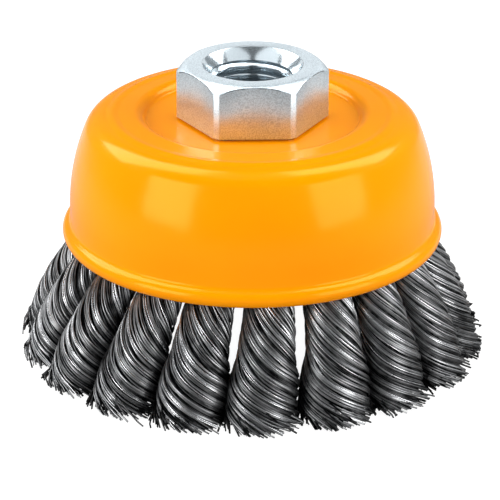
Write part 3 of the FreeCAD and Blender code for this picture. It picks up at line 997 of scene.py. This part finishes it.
def make_knot(number):
    """The mesh of one knot. Askew knots have so many degrees and millimetres of swing more."""
    hand = random.Random(number)
    more_turn, more_swing = ASKEW.get(number, (0.0, 0.0))
    ring_place = FIRST_ANGLE + 360 * (number - 1) / KNOT_COUNT
    wanted = {
        "Seed": 1000 * number,
        "Ring angle": math.radians(ring_place + loosely(hand, PLACE_LOOSENESS) + more_turn),
        "Phase": hand.uniform(0.0, FULL_TURN),
        "Swing": KNOT_SIZES["Swing"] + (loosely(hand, SWING_LOOSENESS) + more_swing) * MM,
        "Turns": KNOT_SIZES["Turns"] + loosely(hand, TURN_LOOSENESS),
        "Steel": wire_steel,
    }
    carrier = bpy.data.objects.new("carrier", bpy.data.meshes.new("carrier"))
    bpy.context.scene.collection.objects.link(carrier)
    modifier = carrier.modifiers.new("knot", "NODES")
    modifier.node_group = knot_tree
    for socket in knot_tree.interface.items_tree:
        if socket.name in wanted:
            modifier[socket.identifier] = wanted[socket.name]
    evaluated = carrier.evaluated_get(bpy.context.evaluated_depsgraph_get())
    mesh = bpy.data.meshes.new_from_object(evaluated)
    mesh.name = "twisted_knot_%02d" % number
    bpy.data.objects.remove(carrier)
    return mesh


knots = []
for number in range(1, KNOT_COUNT + 1):
    mesh = make_knot(number)
    knots.append(add_piece(mesh.name, mesh, wire_steel, "wire_knot_%02d" % number))

# %% [markdown]
# ## Floor
#
# The floor is a large white sheet. What the camera sees of it glows evenly, so that it stays white
# under the brush. For everything else it glows in a ring round the brush and lights the wires from
# below, as a light table does, and it fades further out, so that the wires keep their dark sides.
# From below it is clear.

# %% Make the floor
FLOOR_SIZE = 4.0
FLOOR_GLOW = 0.95
FLOOR_LIGHT = 0.6
FLOOR_FADE = 0.4
RING_START, RING_FULL = 0.045, 0.11
FADE_START, FADE_FULL = 0.20, 0.35
floor_material, tree, shader, place = new_material("white_floor", 0.0, 0.9)
shader.inputs["Base Color"].default_value = (0.25, 0.25, 0.25, 1.0)
shader.inputs["Specular IOR Level"].default_value = 0.0
shader.inputs["Emission Color"].default_value = (1.0, 1.0, 1.0, 1.0)
away = out(tree, add_node(tree, "ShaderNodeVectorMath", {0: place}, operation="LENGTH"), "Value")
glow = (remap(tree, away, RING_START, RING_FULL, 0.0, FLOOR_LIGHT)
        - remap(tree, away, FADE_START, FADE_FULL, 0.0, FLOOR_FADE))
to_camera = out(tree, tree.nodes.new("ShaderNodeLightPath"), "Is Camera Ray")
connect(tree, glow + to_camera * (FLOOR_GLOW - glow), shader.inputs["Emission Strength"])
from_below = out(tree, tree.nodes.new("ShaderNodeNewGeometry"), "Backfacing")
clear = tree.nodes.new("ShaderNodeBsdfTransparent")
one_sided = add_node(tree, "ShaderNodeMixShader", {0: from_below, 1: out(tree, shader),
                                                   2: out(tree, clear)})
connect(tree, out(tree, one_sided), tree.nodes["Material Output"].inputs["Surface"])
work = bmesh.new()
bmesh.ops.create_grid(work, x_segments=1, y_segments=1, size=FLOOR_SIZE)
floor_mesh = bpy.data.meshes.new("floor")
work.to_mesh(floor_mesh)
work.free()
floor_mesh.materials.append(floor_material)
floor = bpy.data.objects.new("floor", floor_mesh)
bpy.context.scene.collection.objects.link(floor)
print("the floor is", 2 * FLOOR_SIZE, "m wide")

# %% [markdown]
# ## Light
#
# A glossy cup mirrors the lamps themselves, so each soft box has two jobs: it lights the surface,
# and it draws a highlight. Two boxes in front, left and right, do both. The other boxes do one
# job each, which keeps the strength of the light apart from the shape of the highlights. Side boxes
# and a top box only light. High boxes behind draw the bright rims of the cup, low ones the edges of
# the knots, and four more show only in the nut. Light linking keeps each box to its pieces.

# %% Soft boxes
BOX_DISTANCE = 0.8
BOX_AIM_Z = 0.025


def soft_box(name, azimuth, elevation, width, height, power, diffuse=True, glossy=True):
    """A rectangular light that points at the brush. Azimuth 0 is the camera's side, 90 the right."""
    light = bpy.data.lights.new(name, "AREA")
    light.shape = "RECTANGLE"
    light.size = width
    light.size_y = height
    light.energy = power
    lamp = bpy.data.objects.new(name, light)
    turn, rise = math.radians(azimuth), math.radians(elevation)
    direction = Vector((math.sin(turn) * math.cos(rise), -math.cos(turn) * math.cos(rise), math.sin(rise)))
    lamp.location = direction * BOX_DISTANCE + Vector((0.0, 0.0, BOX_AIM_Z))
    lamp.rotation_mode = "QUATERNION"
    lamp.rotation_quaternion = (-direction).to_track_quat("-Z", "Y")
    lamp.visible_diffuse = diffuse
    lamp.visible_glossy = glossy
    bpy.context.scene.collection.objects.link(lamp)
    return lamp


def highlights_for(name, pieces, boxes):
    """Boxes that draw highlights on a few pieces alone, given by name, place, size and power."""
    lit = bpy.data.collections.new(name)
    for piece in pieces:
        lit.objects.link(piece)
    for box in boxes:
        soft_box(*box, diffuse=False).light_linking.receiver_collection = lit


soft_box("left_box", -54, 12, 0.46, 0.50, 4.2)
soft_box("right_box", 57, 14, 0.50, 0.50, 3.5)
highlights_for("lit by the low side boxes", knots, [
    ("left_low_box", -108, 14, 0.6, 0.5, 2.4), ("right_low_box", 108, 14, 0.6, 0.5, 0.5)])
highlights_for("lit by the high boxes", [cup, nut], [
    ("left_high_box", -118, 50, 0.48, 0.75, 8.0), ("right_high_box", 116, 54, 0.40, 0.70, 6.0)])
soft_box("left_side_box", -100, 35, 0.5, 0.5, 3.0, glossy=False)
soft_box("right_side_box", 100, 35, 0.5, 0.5, 3.0, glossy=False)
soft_box("top_box", 0, 86, 0.6, 0.4, 3.5, glossy=False)
highlights_for("lit by the nut's own boxes", [nut], [
    ("nut_back_box", 180, 21, 1.1, 0.45, 1.35), ("nut_left_box", -52, 52, 0.7, 0.35, 1.0),
    ("nut_right_box", 52, 52, 0.7, 0.35, 0.8), ("nut_top_box", 0, 90, 0.4, 0.4, 1.2)])
print("soft boxes:", len(bpy.data.lights))

# %% [markdown]
# ### The studio around
#
# The world fills in what no box reaches. It is a faint, cool white that is dimmer overhead, so that
# surfaces that look up keep their contrast. The camera itself sees plain white behind the brush.

# %% Make the world
SKY = (0.94, 0.97, 1.0, 1.0)
WHITE = (1.0, 1.0, 1.0, 1.0)
SKY_LIGHT = 0.3
OVERHEAD_SHARE = 0.25
world = bpy.data.worlds.new("studio")
bpy.context.scene.world = world
world.use_nodes = True
tree = world.node_tree
sky = tree.nodes["Background"]
sky.inputs["Color"].default_value = SKY
height = coordinates(tree, out(tree, tree.nodes.new("ShaderNodeTexCoord"), "Generated"))[2]
low_down = remap(tree, height, 0.45, 0.7, 1.0, OVERHEAD_SHARE)
connect(tree, SKY_LIGHT * low_down, sky.inputs["Strength"])
seen = add_node(tree, "ShaderNodeBackground", {"Color": WHITE, "Strength": 1.0})
to_camera = out(tree, tree.nodes.new("ShaderNodeLightPath"), "Is Camera Ray")
both = add_node(tree, "ShaderNodeMixShader", {0: to_camera, 1: out(tree, sky), 2: out(tree, seen)})
connect(tree, out(tree, both), tree.nodes["World Output"].inputs["Surface"])
print(world.name, "has", len(tree.nodes), "nodes")

# %% [markdown]
# ## Camera
#
# The camera is far away with a long lens, which keeps the rim of the cup close to a true ellipse.
# It looks down by 23 degrees, and its small yaw and roll are those of the picture. The axes are
# worked out one by one, because a camera that is aimed by a tracking constraint can't roll.

# %% Make the camera
CAMERA_PLACE = (0.0, -0.51669, 0.23984)
PITCH_DOWN = 0.4089
YAW = -0.0007
ROLL = 0.0025
LENS = 243.9
SENSOR_WIDTH = 36.0
ahead = Vector((math.sin(YAW) * math.cos(PITCH_DOWN), math.cos(YAW) * math.cos(PITCH_DOWN),
                -math.sin(PITCH_DOWN)))
right = Vector((math.cos(YAW), -math.sin(YAW), 0.0))
up = right.cross(ahead)
rolled_right = math.cos(ROLL) * right + math.sin(ROLL) * up
rolled_up = math.cos(ROLL) * up - math.sin(ROLL) * right
camera_data = bpy.data.cameras.new("camera")
camera_data.sensor_width = SENSOR_WIDTH
camera_data.lens = LENS
camera_data.clip_start = 0.01
camera_data.clip_end = 20.0
camera = bpy.data.objects.new("camera", camera_data)
camera.rotation_mode = "QUATERNION"
camera.rotation_quaternion = Matrix((rolled_right, rolled_up, -ahead)).transposed().to_quaternion()
camera.location = CAMERA_PLACE
bpy.context.scene.collection.objects.link(camera)
bpy.context.scene.camera = camera
bpy.context.scene.view_settings.view_transform = "Standard"
print("the camera looks down by", round(math.degrees(PITCH_DOWN), 1), "degrees")
